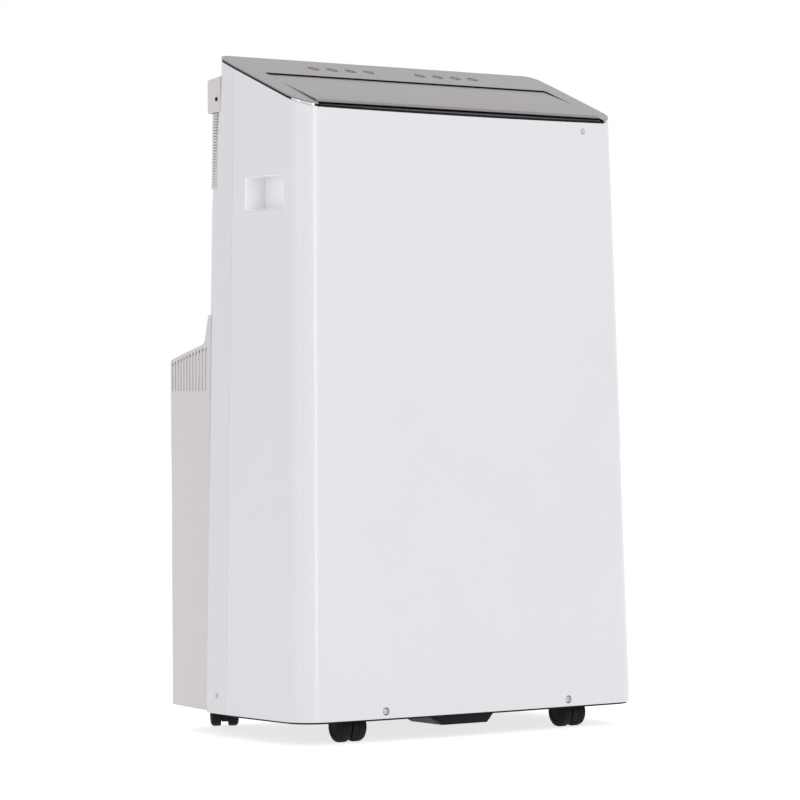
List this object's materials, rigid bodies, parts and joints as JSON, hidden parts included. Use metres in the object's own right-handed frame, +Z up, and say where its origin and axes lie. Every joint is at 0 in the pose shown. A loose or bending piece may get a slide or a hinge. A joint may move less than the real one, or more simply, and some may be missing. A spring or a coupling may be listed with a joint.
{
  "type": "portable air conditioner",
  "caption": "Upright portable room air conditioner with a sloping top, hinged outlet flap, push buttons, side hand grips and a stepped rear, on twin-wheel swivel casters.",
  "frame": {"origin": "on the floor, under the middle of the outline's width and depth", "axes": "+X to the right seen from the front, -Y is the front, +Z up"},
  "size_m": [0.483, 0.315, 0.7716],
  "materials": {
    "front_white": "smooth gloss moulding",
    "rear_white": "satin moulding",
    "silver": "warm silver satin coating",
    "black_gloss": "gloss black",
    "black": "fine matte black",
    "button_grey": "satin grey caps",
    "smoked": "smoked lens",
    "circuit": "solder mask",
    "aluminium": "bare fins",
    "steel": "zinc plated",
    "copper": "drawn copper tube",
    "enamel": "black enamel",
    "foam": "fine net in a frame",
    "grey_plastic": "plain moulding"
  },
  "bodies": {
    "cabinet": {"base_pan": "black", "front_shell": "front_white", "rear_shell": "rear_white", "rear_housing": "rear_white", "intake_hood": "rear_white", "intake_grille": "rear_white", "lower_grille": "rear_white", "handle_cup_left": "front_white", "handle_cup_right": "front_white", "top_trim": "black_gloss", "top_panel": "silver", "outlet_duct": "black", "control_board": "circuit", "display_module": "smoked", "ir_window": "smoked", "front_screw_left": "steel", "front_screw_right": "steel", "partition_deck": "grey_plastic", "evaporator_coil": "aluminium", "condenser_coil": "aluminium", "evaporator_scroll": "grey_plastic", "evaporator_motor": "steel", "condenser_scroll": "grey_plastic", "condenser_motor": "steel", "compressor": "enamel", "accumulator": "enamel", "suction_pipe": "copper", "discharge_pipe": "copper", "control_box": "steel", "slinger_motor": "steel", "exhaust_collar": "black", "cord_inlet": "black"},
    "flap": {"louver_flap": "silver"},
    "vane_1": {"swing_vane_1": "black"},
    "vane_2": {"swing_vane_2": "black"},
    "vane_3": {"swing_vane_3": "black"},
    "vane_4": {"swing_vane_4": "black"},
    "button_1": {"button_1": "button_grey"},
    "button_2": {"button_2": "button_grey"},
    "button_3": {"button_3": "button_grey"},
    "button_4": {"button_4": "button_grey"},
    "button_5": {"button_5": "button_grey"},
    "button_6": {"button_6": "button_grey"},
    "button_7": {"button_7": "button_grey"},
    "button_8": {"button_8": "button_grey"},
    "filter": {"upper_filter": "foam"},
    "evaporator_fan": {"evaporator_blower": "black"},
    "condenser_fan": {"condenser_blower": "black"},
    "slinger": {"slinger_wheel": "black"},
    "upper_drain": {"upper_drain_plug": "black"},
    "lower_drain": {"lower_drain_plug": "black"},
    "swivel_front_left": {"caster_yoke_front_left": "black"},
    "wheels_front_left": {"caster_wheels_front_left": "black"},
    "swivel_front_right": {"caster_yoke_front_right": "black"},
    "wheels_front_right": {"caster_wheels_front_right": "black"},
    "swivel_rear_left": {"caster_yoke_rear_left": "black"},
    "wheels_rear_left": {"caster_wheels_rear_left": "black"},
    "swivel_rear_right": {"caster_yoke_rear_right": "black"},
    "wheels_rear_right": {"caster_wheels_rear_right": "black"}
  },
  "joints": [
    {"name": "flap_hinge", "type": "hinge", "parent": "cabinet", "child": "flap", "pos_m": [0, -0.02802, 0.74219], "axis": [-1, 0, 0], "range_deg": [0, 65]},
    {"name": "vane_1_swing", "type": "hinge", "parent": "cabinet", "child": "vane_1", "pos_m": [-0.12, -0.071, 0.68], "axis": [0, 1, 0], "range_deg": [-35, 35]},
    {"name": "vane_2_swing", "type": "hinge", "parent": "cabinet", "child": "vane_2", "pos_m": [-0.04, -0.071, 0.68], "axis": [0, 1, 0], "range_deg": [-35, 35]},
    {"name": "vane_3_swing", "type": "hinge", "parent": "cabinet", "child": "vane_3", "pos_m": [0.04, -0.071, 0.68], "axis": [0, 1, 0], "range_deg": [-35, 35]},
    {"name": "vane_4_swing", "type": "hinge", "parent": "cabinet", "child": "vane_4", "pos_m": [0.12, -0.071, 0.68], "axis": [0, 1, 0], "range_deg": [-35, 35]},
    {"name": "button_1_press", "type": "slide", "parent": "cabinet", "child": "button_1", "axis": [0, 0.3659, -0.9307], "range_m": [0, 0.0012], "stiffness_N_per_m": 300, "springref_m": -0.0004},
    {"name": "button_2_press", "type": "slide", "parent": "cabinet", "child": "button_2", "axis": [0, 0.3659, -0.9307], "range_m": [0, 0.0012], "stiffness_N_per_m": 300, "springref_m": -0.0004},
    {"name": "button_3_press", "type": "slide", "parent": "cabinet", "child": "button_3", "axis": [0, 0.3659, -0.9307], "range_m": [0, 0.0012], "stiffness_N_per_m": 300, "springref_m": -0.0004},
    {"name": "button_4_press", "type": "slide", "parent": "cabinet", "child": "button_4", "axis": [0, 0.3659, -0.9307], "range_m": [0, 0.0012], "stiffness_N_per_m": 300, "springref_m": -0.0004},
    {"name": "button_5_press", "type": "slide", "parent": "cabinet", "child": "button_5", "axis": [0, 0.3659, -0.9307], "range_m": [0, 0.0012], "stiffness_N_per_m": 300, "springref_m": -0.0004},
    {"name": "button_6_press", "type": "slide", "parent": "cabinet", "child": "button_6", "axis": [0, 0.3659, -0.9307], "range_m": [0, 0.0012], "stiffness_N_per_m": 300, "springref_m": -0.0004},
    {"name": "button_7_press", "type": "slide", "parent": "cabinet", "child": "button_7", "axis": [0, 0.3659, -0.9307], "range_m": [0, 0.0012], "stiffness_N_per_m": 300, "springref_m": -0.0004},
    {"name": "button_8_press", "type": "slide", "parent": "cabinet", "child": "button_8", "axis": [0, 0.3659, -0.9307], "range_m": [0, 0.0012], "stiffness_N_per_m": 300, "springref_m": -0.0004},
    {"name": "filter_pull", "type": "slide", "parent": "cabinet", "child": "filter", "axis": [1, 0, 0], "range_m": [0, 0.43]},
    {"name": "evaporator_fan_spin", "type": "hinge", "parent": "cabinet", "child": "evaporator_fan", "pos_m": [0, -0.07, 0.54], "axis": [0, 1, 0], "continuous": true},
    {"name": "condenser_fan_spin", "type": "hinge", "parent": "cabinet", "child": "condenser_fan", "pos_m": [0.092, -0.005, 0.29], "axis": [1, 0, 0], "continuous": true},
    {"name": "slinger_spin", "type": "hinge", "parent": "cabinet", "child": "slinger", "pos_m": [0.062, 0.097, 0.082], "axis": [0, 1, 0], "continuous": true},
    {"name": "upper_drain_pull", "type": "slide", "parent": "cabinet", "child": "upper_drain", "axis": [0, 1, 0], "range_m": [0, 0.03]},
    {"name": "lower_drain_pull", "type": "slide", "parent": "cabinet", "child": "lower_drain", "axis": [0, 1, 0], "range_m": [0, 0.03]},
    {"name": "front_left_swivel", "type": "hinge", "parent": "cabinet", "child": "swivel_front_left", "pos_m": [-0.1535, -0.107, 0.05], "axis": [0, 0, 1], "continuous": true},
    {"name": "front_left_roll", "type": "hinge", "parent": "swivel_front_left", "child": "wheels_front_left", "pos_m": [-0.1535, -0.118, 0.017], "axis": [-1, 0, 0], "continuous": true},
    {"name": "front_right_swivel", "type": "hinge", "parent": "cabinet", "child": "swivel_front_right", "pos_m": [0.1535, -0.107, 0.05], "axis": [0, 0, 1], "continuous": true},
    {"name": "front_right_roll", "type": "hinge", "parent": "swivel_front_right", "child": "wheels_front_right", "pos_m": [0.1535, -0.118, 0.017], "axis": [-1, 0, 0], "continuous": true},
    {"name": "rear_left_swivel", "type": "hinge", "parent": "cabinet", "child": "swivel_rear_left", "pos_m": [-0.162, 0.125, 0.05], "axis": [0, 0, 1], "continuous": true},
    {"name": "rear_left_roll", "type": "hinge", "parent": "swivel_rear_left", "child": "wheels_rear_left", "pos_m": [-0.15684, 0.13471, 0.017], "axis": [0.8829, -0.4695, 0], "continuous": true},
    {"name": "rear_right_swivel", "type": "hinge", "parent": "cabinet", "child": "swivel_rear_right", "pos_m": [0.162, 0.125, 0.05], "axis": [0, 0, 1], "continuous": true},
    {"name": "rear_right_roll", "type": "hinge", "parent": "swivel_rear_right", "child": "wheels_rear_right", "pos_m": [0.15934, 0.13567, 0.017], "axis": [0.9703, 0.2419, 0], "continuous": true}
  ],
  "couplings": [
    {"joint": "vane_2_swing", "follows": "vane_1_swing", "ratio": 1},
    {"joint": "vane_3_swing", "follows": "vane_1_swing", "ratio": 1},
    {"joint": "vane_4_swing", "follows": "vane_1_swing", "ratio": 1}
  ]
}
